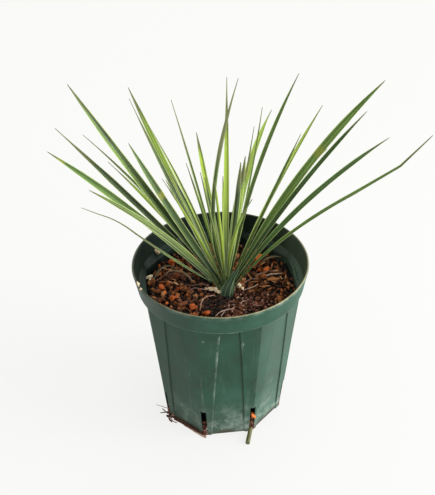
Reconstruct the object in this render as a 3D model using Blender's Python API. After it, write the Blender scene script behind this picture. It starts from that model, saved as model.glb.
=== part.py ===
"""Potted mexican grass tree: a slit nursery pot, its substrate, a crown and its leaves.

Metres, +Z up. The origin is on the pot's axis, on the face that the pot stands on.
Azimuths are degrees seen from above: 0 is the front (-Y) and 90 is the right (+X).
"""
import math
from collections import namedtuple

import bmesh
import bpy
from mathutils import Matrix, Vector, noise

MM = 0.001
GAP = 0.35 * MM                   # clearance between pieces that touch
UP = Vector((0, 0, 1))

# Pot
POT_HEIGHT = 122 * MM
RIM_RADIUS = 60 * MM
BAND_HEIGHT = 15.6 * MM           # plain round band below the rim
BAND_FOOT_RADIUS = 57 * MM
BAND_WALL = 1.3 * MM
LIP_ROUND = 0.4 * MM
CORNERS = 8
FIRST_CORNER = 28.2               # azimuth of one corner pleat
RIDGE_RADIUS = (43.7 * MM, 55.7 * MM)       # the pleats' ridges, at the floor and under the band
PLEAT_EDGE_RADIUS = (42.1 * MM, 53.3 * MM)  # where a pleat steps down to the flat panels
PLEAT_HALF_ANGLE = (6, 15.5)                # degrees
PLEAT_STEP = 0.8 * MM
STEP_ANGLE = 0.5                  # degrees that the step takes
BODY_WALL = 1.5 * MM
INNER_STEP = 0.3 * MM             # the pleats' step shows less on the inside
BASE_THICKNESS = 1.6 * MM
FOOT_CHAMFER = 0.5 * MM
FOOT_SHIFT = Vector((-1.3, -0.5, 0)) * MM  # the thin body is pressed a little out of true
PANEL_ARCH = 2.0 * MM             # the middle of each panel's lower edge clears the floor
SLIT_WIDTH = 3.9 * MM
SLIT_HEIGHT = 25 * MM
SLIT_INNER_RADIUS = 29 * MM       # how far the slits run in under the base

# Substrate
SOIL_LEVEL = 102 * MM
SOIL_WAVE = 0.9 * MM

# Crown, an egg half sunk in the substrate
CROWN_CENTRE = Vector((3.5, -6, 104)) * MM
CROWN_RADIUS = 7.5 * MM
CROWN_HALF_HEIGHT = 8 * MM

# Leaves
BLADE_RINGS = 13
SEAT_SPREAD = 1.3                 # a leaf that leans more is seated lower on the crown
MAX_SEAT_POLAR = 88               # degrees from the crown's top
KEEL_DEPTH = 0.24                 # of the blade's width
CHANNEL_DEPTH = 0.08
LEAST_THICKNESS = 0.4 * MM
FLICK_START = 0.8                 # share of the length where a bent tip has its kink
LEAF_COLOUR = (0.11, 0.20, 0.055)
DRY_COLOUR = (0.36, 0.24, 0.12)

Leaf = namedtuple("Leaf", "azimuth lean length width bow side turn flick", defaults=(0,) * 5)

# Azimuth and lean (from upright) of the tip seen from the crown, and turn about the blade's own
# line, in degrees. Length, width, bow (how far the middle arches up), side (how far it arches
# towards a growing azimuth) and flick (how far the last part turns up) in millimetres.
LEAVES = (
    # Left fan, from the longest
    Leaf(-106, 35, 176, 6, 0, 2, -25),
    Leaf(-103, 44, 159, 4.5, 1, 0, -25),
    Leaf(-104, 40, 144, 2.5, 3, -3, -20),
    Leaf(-118, 62, 155, 5.5, -1, -6, -15),
    Leaf(-133, 63, 124, 2.5, 3, -1, -15),
    Leaf(-80, 43, 126, 4.5, 8, 6, -30),
    Leaf(-82, 46, 120, 2, 2, 9, -20, -8),
    Leaf(-148, 51, 158, 4.5, 0, 0, -15),
    Leaf(-115, 26, 148, 3, -1, 0, -20),
    Leaf(-107, 31, 123, 5.5, 0, 2, -25),
    Leaf(-102, 21, 132, 3, 4, 2, -20),
    Leaf(-124, 16, 140, 2, 1, 0, -15),
    Leaf(-40, 26, 132, 2, 2, 0, 20),
    Leaf(-32, 19, 131, 2, 2, -1, 5),
    # Back and middle
    Leaf(-172, 72, 142, 4, 2, 0),
    Leaf(178, 58, 164, 4, 2, 0),
    Leaf(60, 4, 164, 3, 0, -25, -20),
    Leaf(-14, 24, 142, 1.5, 1, 0, 5),
    Leaf(-7, 22, 128, 2, 2, 0),
    Leaf(180, 67, 92, 2.5, 1, 0),
    Leaf(165, 56, 138, 1.5, 3, -2),
    Leaf(164, 65, 150, 4.5, 13, 3, 10),
    Leaf(67, 9, 133, 2, 0, 1, -30),
    Leaf(12, 20, 138, 2.5, 1, 1, -10),
    Leaf(19, 17, 134, 2.5, 1, 1, -10),
    Leaf(16, 28, 125, 2, 4, -3, -30),
    # Right fan
    Leaf(101, 17, 165, 4, 6, 0, 20),
    Leaf(145, 57, 150, 3, 0, 3, 10),
    Leaf(70, 21, 140, 3, 0, -1, 45),
    Leaf(109, 39, 176, 6, 4, 6, 20),
    Leaf(99, 36, 157, 4, 4, 1, 20),
    Leaf(93, 43, 154, 4.5, 9, -2, 20),
    Leaf(83, 50, 180, 3, 20, -17, 20, 14),
    Leaf(137, 61, 124, 2, 5, 3, 10),
    # Shorter leaves low at the back, between the long ones
    Leaf(-150, 62, 92, 3, 2, 0),
    Leaf(160, 50, 60, 3, 2, 0),
    Leaf(-142, 42, 88, 3, 2, 0, -10),
    Leaf(125, 46, 96, 3, 3, 0, 10),
    Leaf(-166, 44, 66, 3, 2, 0),
    Leaf(168, 40, 66, 3, 2, 0),
    # Young leaves in the heart
    Leaf(-60, 8, 72, 2, 0, 0),
    Leaf(150, 14, 78, 2.5, 0, 0),
    Leaf(-150, 18, 80, 2.5, 0, 0),
)
DRY_LEAF = Leaf(138, 72, 71, 2.5, 1, 0)

# Dry strips on the substrate: width, then waypoints x, y and height above it, in millimetres
STRIPS = (
    (2, (-46, 6, 1.5), (-42, 15, 3), (-36, 19, 3), (-30, 17, 1.5)),
    (2, (-40, 7, 2), (-35, 11, 4), (-27, 10, 4), (-22, 6, 3), (-19, 1, 1.5)),
    (2.5, (28, 22, 1.5), (33, 25, 3), (38, 27, 3), (43, 27, 2)),
)
STRIP_RINGS = 13

# Loose granules big enough to be pieces of their own: x, y, length, width and height in
# millimetres, and the azimuth that the length lies along
STONES = (
    (26, 26, 9, 7, 6, 60),
    (32, 14, 6, 4.5, 4, 100),
    (-41, -3, 5.5, 4.5, 4, 30),
    (-19, -26, 6.5, 5.5, 4.5, 80),
    (-34, 25, 6, 4, 4, 110),
    (-10, -33, 5.5, 4, 3.5, 100),
    (-33, -16, 5, 4, 3.5, 20),
)
STONE_COLOUR = (0.40, 0.12, 0.035)
STONE_ROUGHNESS = 0.22            # how far the surface leaves an even egg, as a share of its size
BARK_CHIPS = (
    (36, 4, 9, 4, 2, 80),
    (-26, -21, 8, 3.5, 1.8, 120),
)
BARK_COLOUR = (0.10, 0.05, 0.03)
LYING_CLEARANCE = 0.5 * MM        # between the substrate's top and what lies on it

# A root that grows out of the slit at FIRST_CORNER and on along the floor
ROOT_RADIUS = (1.25 * MM, 1.35 * MM)
ROOT_PATH = (
    (19.1, -38.6, 1.5), (19.7, -41.2, 1.5), (18.4, -44.4, 1.5), (16.4, -46.5, 1.5), (15.8, -52, 1.5),
)
ROOT_COLOUR = (0.16, 0.12, 0.05)
ROOT_RINGS = 15
ROOT_SIDES = 8


def azimuth_point(azimuth, radius, z=0.0):
    """The point at an azimuth in degrees, a distance from the Z axis and a height."""
    angle = math.radians(azimuth)
    return Vector((radius * math.sin(angle), -radius * math.cos(angle), z))


def between(pair, t):
    """The value at t of the way from a pair's first number to its second."""
    return pair[0] + (pair[1] - pair[0]) * t


def add_object(name, mesh_data, colour, roughness):
    """Link a new object whose own material has the piece's colour."""
    mesh = bpy.data.meshes.new(name)
    bmesh.ops.recalc_face_normals(mesh_data, faces=mesh_data.faces)
    mesh_data.to_mesh(mesh)
    mesh_data.free()
    material = bpy.data.materials.new(name)
    material.use_nodes = True
    shader = material.node_tree.nodes["Principled BSDF"]
    shader.inputs["Base Color"].default_value = (*colour, 1)
    shader.inputs["Roughness"].default_value = roughness
    shader.inputs["Metallic"].default_value = 0
    mesh.materials.append(material)
    piece = bpy.data.objects.new(name, mesh)
    bpy.context.scene.collection.objects.link(piece)
    return piece


def skin(rings):
    """A closed body through rings with the same number of points, with flat ends."""
    mesh_data = bmesh.new()
    loops = [[mesh_data.verts.new(point) for point in ring] for ring in rings]
    count = len(loops[0])
    for lower, upper in zip(loops, loops[1:]):
        for i in range(count):
            j = (i + 1) % count
            mesh_data.faces.new((lower[i], lower[j], upper[j], upper[i]))
    mesh_data.faces.new(reversed(loops[0]))
    mesh_data.faces.new(loops[-1])
    return mesh_data


def cut(piece, cutter_mesh, name):
    """Take a guide body out of a piece."""
    cutter = add_object(name, cutter_mesh, (1, 0, 0), 0.5)
    cutter.hide_render = True
    cutter.display_type = "WIRE"
    boolean = piece.modifiers.new(name, "BOOLEAN")
    boolean.operation = "DIFFERENCE"
    boolean.solver = "EXACT"
    boolean.object = cutter


# Pot

BODY_TOP = POT_HEIGHT - BAND_HEIGHT
SECTOR = 360 / CORNERS
STEPS = (3, 1, 4, 1, 3)           # points along a pleat's half, a step, a panel, a step, a half


def body_outline(z, inset=0.0, step=PLEAT_STEP):
    """Points round the pleated body at a height, from the first ridge, moved inwards by inset."""
    t = z / BODY_TOP
    ridge = between(RIDGE_RADIUS, t) - inset
    edge = between(PLEAT_EDGE_RADIUS, t) - inset
    half = between(PLEAT_HALF_ANGLE, t)
    points = []
    for corner in range(CORNERS):
        start = FIRST_CORNER + corner * SECTOR
        stops = (
            azimuth_point(start, ridge, z),
            azimuth_point(start + half, edge, z),
            azimuth_point(start + half + STEP_ANGLE, edge - step, z),
            azimuth_point(start + SECTOR - half - STEP_ANGLE, edge - step, z),
            azimuth_point(start + SECTOR - half, edge, z),
            azimuth_point(start + SECTOR, ridge, z),
        )
        for first, last, steps in zip(stops, stops[1:], STEPS):
            points += [first.lerp(last, i / steps) for i in range(steps)]
    return [point + FOOT_SHIFT * (1 - t) for point in points]


def round_outline(z, radius):
    """As many points as body_outline has, on a circle."""
    count = CORNERS * sum(STEPS)
    return [azimuth_point(FIRST_CORNER + 360 * i / count, radius, z) for i in range(count)]


def arched(outline):
    """Lift the middle of each panel's lower edge clear of the floor."""
    first_panel_point = STEPS[0] + STEPS[1]
    for i, point in enumerate(outline):
        across = (i % sum(STEPS) - first_panel_point) / STEPS[2]
        if 0 < across < 1:
            point.z += PANEL_ARCH * math.sin(math.pi * across)
    return outline


def make_pot():
    """One moulding: pleated body, round band with an open rim, flat base, slits at the corners."""
    def band_radius(z):
        return between((BAND_FOOT_RADIUS, RIM_RADIUS), (z - BODY_TOP) / BAND_HEIGHT)

    ledge = BODY_TOP - BODY_WALL
    rings = [
        body_outline(0, FOOT_CHAMFER + GAP),
        arched(body_outline(FOOT_CHAMFER)),
        body_outline(BODY_TOP / 3),
        body_outline(BODY_TOP * 2 / 3),
        body_outline(BODY_TOP),
        round_outline(BODY_TOP - GAP, BAND_FOOT_RADIUS - LIP_ROUND),
        round_outline(BODY_TOP + LIP_ROUND, band_radius(BODY_TOP + LIP_ROUND)),
        round_outline(POT_HEIGHT - LIP_ROUND, band_radius(POT_HEIGHT - LIP_ROUND)),
        round_outline(POT_HEIGHT, RIM_RADIUS - LIP_ROUND),
        round_outline(POT_HEIGHT, RIM_RADIUS - BAND_WALL + LIP_ROUND),
        round_outline(POT_HEIGHT - LIP_ROUND, band_radius(POT_HEIGHT) - BAND_WALL),
        round_outline(BODY_TOP + BODY_WALL, BAND_FOOT_RADIUS - BAND_WALL),
        body_outline(ledge, BODY_WALL, INNER_STEP),
        body_outline(BODY_TOP / 2, BODY_WALL, INNER_STEP),
        body_outline(BASE_THICKNESS, BODY_WALL, INNER_STEP),
    ]
    pot = add_object("pot", skin(rings), (0.018, 0.075, 0.042), 0.38)
    pot.data.shade_smooth()
    pot.data.set_sharp_from_angle(angle=math.radians(14))

    slits = bmesh.new()
    outer = RIDGE_RADIUS[1]
    for corner in range(CORNERS):
        spin = Matrix.Rotation(math.radians(FIRST_CORNER + corner * SECTOR), 4, "Z")
        middle = Vector((0, -(SLIT_INNER_RADIUS + outer) / 2, SLIT_HEIGHT / 2 - MM))
        size = (SLIT_WIDTH, outer - SLIT_INNER_RADIUS, SLIT_HEIGHT + 2 * MM)
        place = Matrix.Translation(FOOT_SHIFT) @ spin @ Matrix.Translation(middle)
        bmesh.ops.create_cube(slits, size=1, matrix=place @ Matrix.Diagonal((*size, 1)))
    cut(pot, slits, "slit_guide")


# Substrate and crown

def soil_height(x, y):
    """The lightly uneven top of the substrate."""
    return SOIL_LEVEL + SOIL_WAVE * noise.noise(Vector((x, y, 0)) / (22 * MM))


def egg(extra=0.0):
    """The crown's outline turned into a body, grown by extra all round."""
    mesh_data = bmesh.new()
    bmesh.ops.create_uvsphere(mesh_data, u_segments=20, v_segments=12, radius=1)
    radius = CROWN_RADIUS + extra
    size = (radius, radius, CROWN_HALF_HEIGHT + extra)
    place = Matrix.Translation(CROWN_CENTRE) @ Matrix.Diagonal((*size, 1))
    mesh_data.transform(place)
    return mesh_data


def make_substrate():
    """The loose mass that fills the pot, with a pocket where the crown sits."""
    clearance = BODY_WALL + INNER_STEP + GAP
    every = STEPS[0]
    rings = [
        body_outline(z, clearance, 0)[::every]
        for z in (BASE_THICKNESS + GAP, SOIL_LEVEL / 2, SOIL_LEVEL - 3 * MM)
    ]
    rim = body_outline(SOIL_LEVEL, clearance, 0)[::every]
    for share in (1, 0.84, 0.66, 0.47, 0.28, 0.1):
        ring = [point * share for point in rim]
        rings.append([Vector((p.x, p.y, soil_height(p.x, p.y))) for p in ring])
    substrate = add_object("substrate", skin(rings), (0.075, 0.030, 0.016), 0.95)
    cut(substrate, egg(GAP), "pocket_guide")


def make_crown():
    """The short stem with the closed leaf bases."""
    crown = add_object("crown", egg(), (0.09, 0.13, 0.06), 0.6)
    crown.data.shade_smooth()


# Leaves

def direction(azimuth, lean):
    """The unit vector at an azimuth that leans this far from upright."""
    return azimuth_point(azimuth, math.sin(math.radians(lean)), math.cos(math.radians(lean)))


def blade_width(t):
    """Share of the full width at t of the way to the tip."""
    return min(1, 0.35 + 2.2 * t) * max(0.06, (1 - t ** 8) ** 1.3)


def square_to(vector, along):
    """The unit vector nearest to vector that is square to along."""
    return (vector - along * vector.dot(along)).normalized()


def blade_line(start, tip, across, bow, side, flick):
    """Points along a blade that arches up by bow and sideways by side on its way to the tip."""
    along = (tip - start).normalized()
    across = square_to(across, along)
    face = along.cross(across)
    points = []
    for i in range(BLADE_RINGS):
        t = i / (BLADE_RINGS - 1)
        arch = 4 * t * (1 - t)
        end = max(0, (t - FLICK_START) / (1 - FLICK_START))
        points.append(start.lerp(tip, t) + face * (bow * arch + flick * end) + across * side * arch)
    return points


def heading(line, i):
    """The unit vector along a line at its point i."""
    return (line[min(i + 1, len(line) - 1)] - line[max(i - 1, 0)]).normalized()


def blade(line, width, across=None):
    """A keeled, channelled blade along a line; its width runs along across, or level."""
    rings = []
    for i, centre in enumerate(line):
        along = heading(line, i)
        level = square_to(across or UP.cross(along), along)
        face = along.cross(level)
        size = width * blade_width(i / (len(line) - 1))
        channel = centre - face * CHANNEL_DEPTH * size
        thickness = max(KEEL_DEPTH * size, LEAST_THICKNESS)
        rings.append([
            centre - level * size / 2,
            channel - face * thickness,
            centre + level * size / 2,
            channel,
        ])
    return skin(rings)


def leaf_seat(leaf):
    """Where a leaf grows out of the crown."""
    polar = min(leaf.lean * SEAT_SPREAD, MAX_SEAT_POLAR)
    out = direction(leaf.azimuth, polar)
    size = Vector((CROWN_RADIUS, CROWN_RADIUS, CROWN_HALF_HEIGHT))
    return CROWN_CENTRE + out * size + out * GAP


def make_leaf(name, leaf, colour=LEAF_COLOUR):
    """One leaf of the rosette, from its seat on the crown to its tip."""
    seat = leaf_seat(leaf)
    out = direction(leaf.azimuth, leaf.lean)
    tip = CROWN_CENTRE + out * leaf.length * MM
    level = direction(leaf.azimuth + 90, 90)
    line = blade_line(seat, tip, level, leaf.bow * MM, leaf.side * MM, leaf.flick * MM)
    turned = Matrix.Rotation(math.radians(leaf.turn), 3, out) @ level
    add_object(name, blade(line, leaf.width * MM, turned), colour, 0.45)


# What lies on the substrate, and the root

def smooth(points, count):
    """Points along a smooth curve through waypoints."""
    ends = [points[0] * 2 - points[1], *points, points[-1] * 2 - points[-2]]
    curve = []
    for i in range(count):
        place = i / (count - 1) * (len(points) - 1)
        span = min(int(place), len(points) - 2)
        t = place - span
        a, b, c, d = ends[span:span + 4]
        bend = (a * 2 - b * 5 + c * 4 - d) * t ** 2 + (b * 3 - a - c * 3 + d) * t ** 3
        curve.append((b * 2 + (c - a) * t + bend) / 2)
    return curve


def on_soil(x, y, rise):
    """A point this far above what the substrate leaves free, all in millimetres."""
    return Vector((x * MM, y * MM, soil_height(x * MM, y * MM) + LYING_CLEARANCE + rise * MM))


def make_strip(name, width, waypoints):
    """A dry, curled strip of leaf."""
    line = smooth([on_soil(*point) for point in waypoints], STRIP_RINGS)
    add_object(name, blade(line, width * MM), DRY_COLOUR, 0.7)


def lay(mesh_data, x, y, azimuth):
    """Turn a loose body to an azimuth and set it down on the substrate."""
    mesh_data.transform(Matrix.Rotation(math.radians(azimuth), 4, "Z"))
    lowest = min(vertex.co.z for vertex in mesh_data.verts)
    mesh_data.transform(Matrix.Translation(on_soil(x, y, 0) - Vector((0, 0, lowest))))
    return mesh_data


def make_stone(name, x, y, length, width, height, azimuth):
    """A worn volcanic granule."""
    mesh_data = bmesh.new()
    bmesh.ops.create_icosphere(mesh_data, subdivisions=2, radius=1)
    for vertex in mesh_data.verts:
        vertex.co *= 1 + STONE_ROUGHNESS * noise.noise(vertex.co * 1.2 + Vector((x, y, 0)))
    half_sizes = Vector((width, length, height)) * MM / 2
    mesh_data.transform(Matrix.Diagonal((*half_sizes, 1)))
    add_object(name, lay(mesh_data, x, y, azimuth), STONE_COLOUR, 0.9)


def make_bark(name, x, y, length, width, height, azimuth):
    """A splinter of bark with broken ends."""
    rings = []
    for i in range(5):
        t = i / 4
        half = width * MM / 2 * (0.6 + 0.4 * math.sin(math.pi * (0.15 + 0.7 * t)))
        drift = noise.noise(Vector((x + 3 * t, y, 0))) * width * MM * 0.3
        top = height * MM * (1 - 0.35 * t)
        run = (t - 0.5) * length * MM
        rings.append([
            Vector((drift - half, run, top * 0.4)),
            Vector((drift - half * 0.6, run, 0)),
            Vector((drift + half * 0.6, run, 0)),
            Vector((drift + half, run, top * 0.5)),
            Vector((drift + half * 0.4, run, top)),
            Vector((drift - half * 0.5, run, top * 0.9)),
        ])
    add_object(name, lay(skin(rings), x, y, azimuth), BARK_COLOUR, 0.9)


def make_root():
    """A thin root along the floor."""
    line = smooth([Vector(point) * MM for point in ROOT_PATH], ROOT_RINGS)
    rings = []
    for i, centre in enumerate(line):
        radius = between(ROOT_RADIUS, i / (len(line) - 1))
        level = square_to(UP.cross(heading(line, i)), heading(line, i))
        rings.append([
            centre + (level * math.cos(angle) + UP * math.sin(angle)) * radius
            for angle in (math.tau * side / ROOT_SIDES for side in range(ROOT_SIDES))
        ])
    add_object("root_stub", skin(rings), ROOT_COLOUR, 0.8)


def main():
    for old in list(bpy.data.objects):
        bpy.data.objects.remove(old)
    make_pot()
    make_substrate()
    make_crown()
    for number, leaf in enumerate(LEAVES, 1):
        make_leaf(f"leaf_{number:02}", leaf)
    make_leaf("dry_leaf_01", DRY_LEAF, DRY_COLOUR)
    for number, (width, *waypoints) in enumerate(STRIPS, 2):
        make_strip(f"dry_leaf_{number:02}", width, waypoints)
    for number, stone in enumerate(STONES, 1):
        make_stone(f"stone_{number:02}", *stone)
    for number, chip in enumerate(BARK_CHIPS, 1):
        make_bark(f"bark_{number:02}", *chip)
    make_root()


main()
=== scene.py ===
import math
import random
from functools import partial

import bmesh
import bpy
from mathutils import Matrix, Vector, noise


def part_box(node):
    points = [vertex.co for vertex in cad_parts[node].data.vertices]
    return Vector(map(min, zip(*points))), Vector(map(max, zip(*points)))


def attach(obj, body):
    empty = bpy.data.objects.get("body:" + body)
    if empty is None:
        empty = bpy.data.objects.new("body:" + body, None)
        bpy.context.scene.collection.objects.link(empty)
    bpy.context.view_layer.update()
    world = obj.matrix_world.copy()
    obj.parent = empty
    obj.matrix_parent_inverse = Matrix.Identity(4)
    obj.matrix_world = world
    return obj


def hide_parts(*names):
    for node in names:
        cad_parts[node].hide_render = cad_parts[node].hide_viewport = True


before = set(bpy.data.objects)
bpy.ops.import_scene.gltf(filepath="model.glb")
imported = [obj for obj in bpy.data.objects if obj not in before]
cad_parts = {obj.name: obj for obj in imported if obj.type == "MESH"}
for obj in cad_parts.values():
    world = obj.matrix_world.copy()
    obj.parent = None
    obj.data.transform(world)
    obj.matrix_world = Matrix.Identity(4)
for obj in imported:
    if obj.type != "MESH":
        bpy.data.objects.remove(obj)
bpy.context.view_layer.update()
mm = 0.001
up = Vector((0, 0, 1))
modeNames = {"Math": "operation", "VectorMath": "operation", "MapRange": "interpolation_type"}


def colour(hexText):
    # sRGB hex to the linear colour that a shader takes
    parts = [int(hexText[i:i + 2], 16) / 255 for i in (1, 3, 5)]
    return (*[p / 12.92 if p <= 0.04045 else ((p + 0.055) / 1.055) ** 2.4 for p in parts], 1)


def feed(tree, sockets, given):
    # sets or links inputs, by name or in their order; a hex text is a colour
    used = [socket for socket in sockets if socket.enabled]
    named = {socket.name: socket for socket in reversed(used)}
    for key, value in given.items() if isinstance(given, dict) else enumerate(given):
        socket = named[key] if isinstance(key, str) else used[key]
        for one in value if isinstance(value, list) else [value]:
            if isinstance(one, bpy.types.NodeSocket):
                tree.links.new(one, socket)
            else:
                socket.default_value = colour(one) if str(one).startswith("#") else one


def addNode(tree, kind, inputs=(), out=None, stops=(), **settings):
    # adds a node, whose mode may follow its kind after a full stop, and gives the socket it puts out
    kind, _, mode = kind.partition(".")
    homes = ("ShaderNode", "GeometryNode", "FunctionNode", "")
    made = tree.nodes.new(next(home + kind for home in homes if hasattr(bpy.types, home + kind)))
    if mode:
        setattr(made, modeNames.get(kind, "data_type"), mode)
    for name, value in settings.items():
        setattr(made, name, value)
    feed(tree, made.inputs, inputs)
    for number, (place, hexText) in enumerate(stops):
        points = made.color_ramp.elements
        point = points[number] if number < len(points) else points.new(place)
        point.position, point.color = place, colour(hexText)
    shown = [socket for socket in made.outputs if socket.enabled]
    return made.outputs[out] if out else (shown[0] if shown else made)


def newMaterial(name):
    # the material, what adds its nodes and what sets its surface
    material = bpy.data.materials.new(name)
    material.use_nodes = True
    tree = material.node_tree
    return material, partial(addNode, tree), partial(feed, tree, tree.nodes["Principled BSDF"].inputs)


def newTree(name, **inputs):
    # a geometry tree with named inputs: each has its default, or None where it takes a material
    tree = bpy.data.node_groups.new(name, "GeometryNodeTree")
    for way in ("INPUT", "OUTPUT"):
        tree.interface.new_socket("Geometry", in_out=way, socket_type="NodeSocketGeometry")
    for key, default in inputs.items():
        kind = {int: "Int", float: "Float"}.get(type(default), "Material")
        made = tree.interface.new_socket(key, in_out="INPUT", socket_type="NodeSocket" + kind)
        if default is not None:
            made.default_value = default
    return tree, partial(addNode, tree), tree.nodes.new("NodeGroupInput").outputs


def polar(azimuth, radius, z=0.0):
    # azimuth in degrees seen from above: 0 is the front, 90 the right
    angle = math.radians(azimuth)
    return Vector((radius * math.sin(angle), -radius * math.cos(angle), z))


def mixed(pair, t):
    return pair[0] + (pair[1] - pair[0]) * t


def newPiece(name, mesh, material=None):
    piece = bpy.data.objects.new(name, mesh)
    bpy.context.scene.collection.objects.link(piece)
    if material and not mesh.materials:
        mesh.materials.append(material)
    return piece


def meshFrom(name, points, faces=(), edges=()):
    mesh = bpy.data.meshes.new(name)
    mesh.from_pydata(points, edges, faces)
    mesh.update()
    return mesh


def lineMesh(name, lines):
    # open lines of points as one mesh of edges
    points, edges = [], []
    for line in lines:
        edges += [(len(points) + i, len(points) + i + 1) for i in range(len(line) - 1)]
        points += line
    return meshFrom(name, points, edges=edges)


def ringMesh(name, rings):
    # closed rings of points in millimetres, joined in their order, with a cap on both ends
    n, last = len(rings[0]), len(rings) - 1
    faces = [(r * n + i, r * n + (i + 1) % n, (r + 1) * n + (i + 1) % n, (r + 1) * n + i)
             for r in range(last) for i in range(n)]
    faces += [tuple(reversed(range(n))), tuple(range(last * n, last * n + n))]
    return meshFrom(name, [p * mm for ring in rings for p in ring], faces)


def openMesh(mesh, weld=False):
    shaper = bmesh.new()
    shaper.from_mesh(mesh)
    if weld:
        bmesh.ops.remove_doubles(shaper, verts=shaper.verts, dist=1e-6)
    return shaper


def closeMesh(shaper, mesh):
    shaper.to_mesh(mesh)
    shaper.free()
    return mesh


def markPoints(mesh, **values):
    # gives each point of a mesh its own number, or all of them the same
    for key, value in values.items():
        each = value if isinstance(value, list) else [value] * len(mesh.vertices)
        mesh.attributes.new(key, "FLOAT", "POINT").data.foreach_set("value", each)


def smoothOver(mesh, sharp):
    mesh.shade_smooth()
    mesh.set_sharp_from_angle(angle=math.radians(sharp))


def keepMesh(piece, sharp=40):
    # bakes a piece's modifiers into a plain mesh and takes them off
    bpy.context.view_layer.update()
    done = bpy.data.meshes.new_from_object(piece.evaluated_get(bpy.context.evaluated_depsgraph_get()))
    done.name = piece.name
    piece.modifiers.clear()
    piece.data = done
    if sharp:
        smoothOver(done, sharp)
    return piece


def grow(piece, tree, sharp=40, **values):
    # runs a geometry tree on a piece with these input values, and keeps the result
    modifier = piece.modifiers.new(tree.name, "NODES")
    modifier.node_group = tree
    for socket in tree.interface.items_tree:
        if socket.in_out == "INPUT" and socket.name in values:
            modifier[socket.identifier] = values[socket.name]
    return keepMesh(piece, sharp)


def finishPiece(piece, slot, *nodes):
    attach(piece, "root")
    if nodes:
        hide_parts(*nodes)
    return piece


# Camera, floor and light

cameraSettings = {
    "focalPixels": 1200,      # focal length in pixels of the 435 x 495 picture
    "distance": 0.82506,      # from the camera to the target, before the sideways shift
    "target": (0, 0, 0.100), "targetPixel": (220.92, 287.2),
    "elevation": 36.23, "roll": -1.47,
    "picture": (435, 495), "sensor": 36,
}


def makeCamera(s):
    tilt, roll = math.radians(s["elevation"]), math.radians(s["roll"])
    back = Vector((0, -math.cos(tilt), math.sin(tilt)))
    right = Vector((1, 0, 0))
    above = back.cross(right)
    turnedRight = right * math.cos(roll) + above * math.sin(roll)
    turnedUp = above * math.cos(roll) - right * math.sin(roll)
    perPixel = s["distance"] / s["focalPixels"]
    aside, below = [(at - side / 2) * perPixel for at, side in zip(s["targetPixel"], s["picture"])]
    place = Vector(s["target"]) + back * s["distance"] - turnedRight * aside + turnedUp * below
    data = bpy.data.cameras.new("camera")
    data.sensor_width = s["sensor"]
    data.lens = s["focalPixels"] * s["sensor"] / max(s["picture"])
    data.clip_start, data.clip_end = 0.01, 20
    camera = bpy.data.objects.new("camera", data)
    turn = Matrix((turnedRight, turnedUp, back)).transposed().to_4x4()
    camera.matrix_world = Matrix.Translation(place) @ turn
    bpy.context.scene.collection.objects.link(camera)
    bpy.context.scene.camera = camera


makeCamera(cameraSettings)

lightSettings = {
    "sky": "#ffffff", "skyTop": 1.0, "skyBack": 0.95, "skyFront": 0.15, "skyLeft": 0.1, "skyRight": 1.9,
    "wallHeight": (0.2, 0.8), "keyPower": 12.0, "keySize": 0.7, "keyPlace": (1.2, -0.25, 0.55),
    "keyTarget": (0, 0, 0.1),
    "paper": "#6a6a69", "floor": "#f4f4f2",
    "floorGlow": 0.87,        # the photo's floor is lit so brightly that it has hardly any shade
}


def makeFloor(s):
    # matt white paper, bright enough to lose its grain
    material, _, surface = newMaterial("whitePaperSweep")
    surface({"Base Color": s["paper"], "Roughness": 0.9, "Specular IOR Level": 0.1,
             "Emission Color": s["floor"], "Emission Strength": s["floorGlow"]})
    mesh = meshFrom("floor", [(-4, -4, 0), (4, -4, 0), (4, 4, 0), (-4, 4, 0)], [(0, 1, 2, 3)])
    newPiece("floor", mesh, material)


def makeLight(s):
    world = bpy.data.worlds.new("studio")
    world.use_nodes = True
    add = partial(addNode, world.node_tree)
    x, y, z = add("SeparateXYZ", [add("TexCoord", out="Generated")]).node.outputs
    depth = add("MapRange.SMOOTHSTEP", [y, -0.6, 0.6, s["skyFront"], s["skyBack"]])
    side = add("MapRange.SMOOTHSTEP", [x, 0.15, 0.85, 0, s["skyRight"]])
    shaded = add("MapRange.SMOOTHSTEP", [x, -0.9, 0.1, s["skyLeft"], 1])
    level = add("Math.MULTIPLY_ADD", [depth, shaded, side])
    height = add("MapRange.SMOOTHSTEP", [z, *s["wallHeight"], 0, 1])
    feed(world.node_tree, world.node_tree.nodes["Background"].inputs,
         {"Color": s["sky"], "Strength": add("Mix", [height, level, s["skyTop"]])})
    bpy.context.scene.world = world
    data = bpy.data.lights.new("softbox", "AREA")
    data.energy, data.size = s["keyPower"], s["keySize"]
    lamp = bpy.data.objects.new("softbox", data)
    lamp.location = s["keyPlace"]
    lamp.rotation_euler = (Vector(s["keyTarget"]) - lamp.location).to_track_quat("-Z", "Y").to_euler()
    bpy.context.scene.collection.objects.link(lamp)
    bpy.context.scene.view_settings.view_transform = "Standard"


makeFloor(lightSettings)
makeLight(lightSettings)
print("camera, floor and light are set")


# The nursery pot

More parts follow.
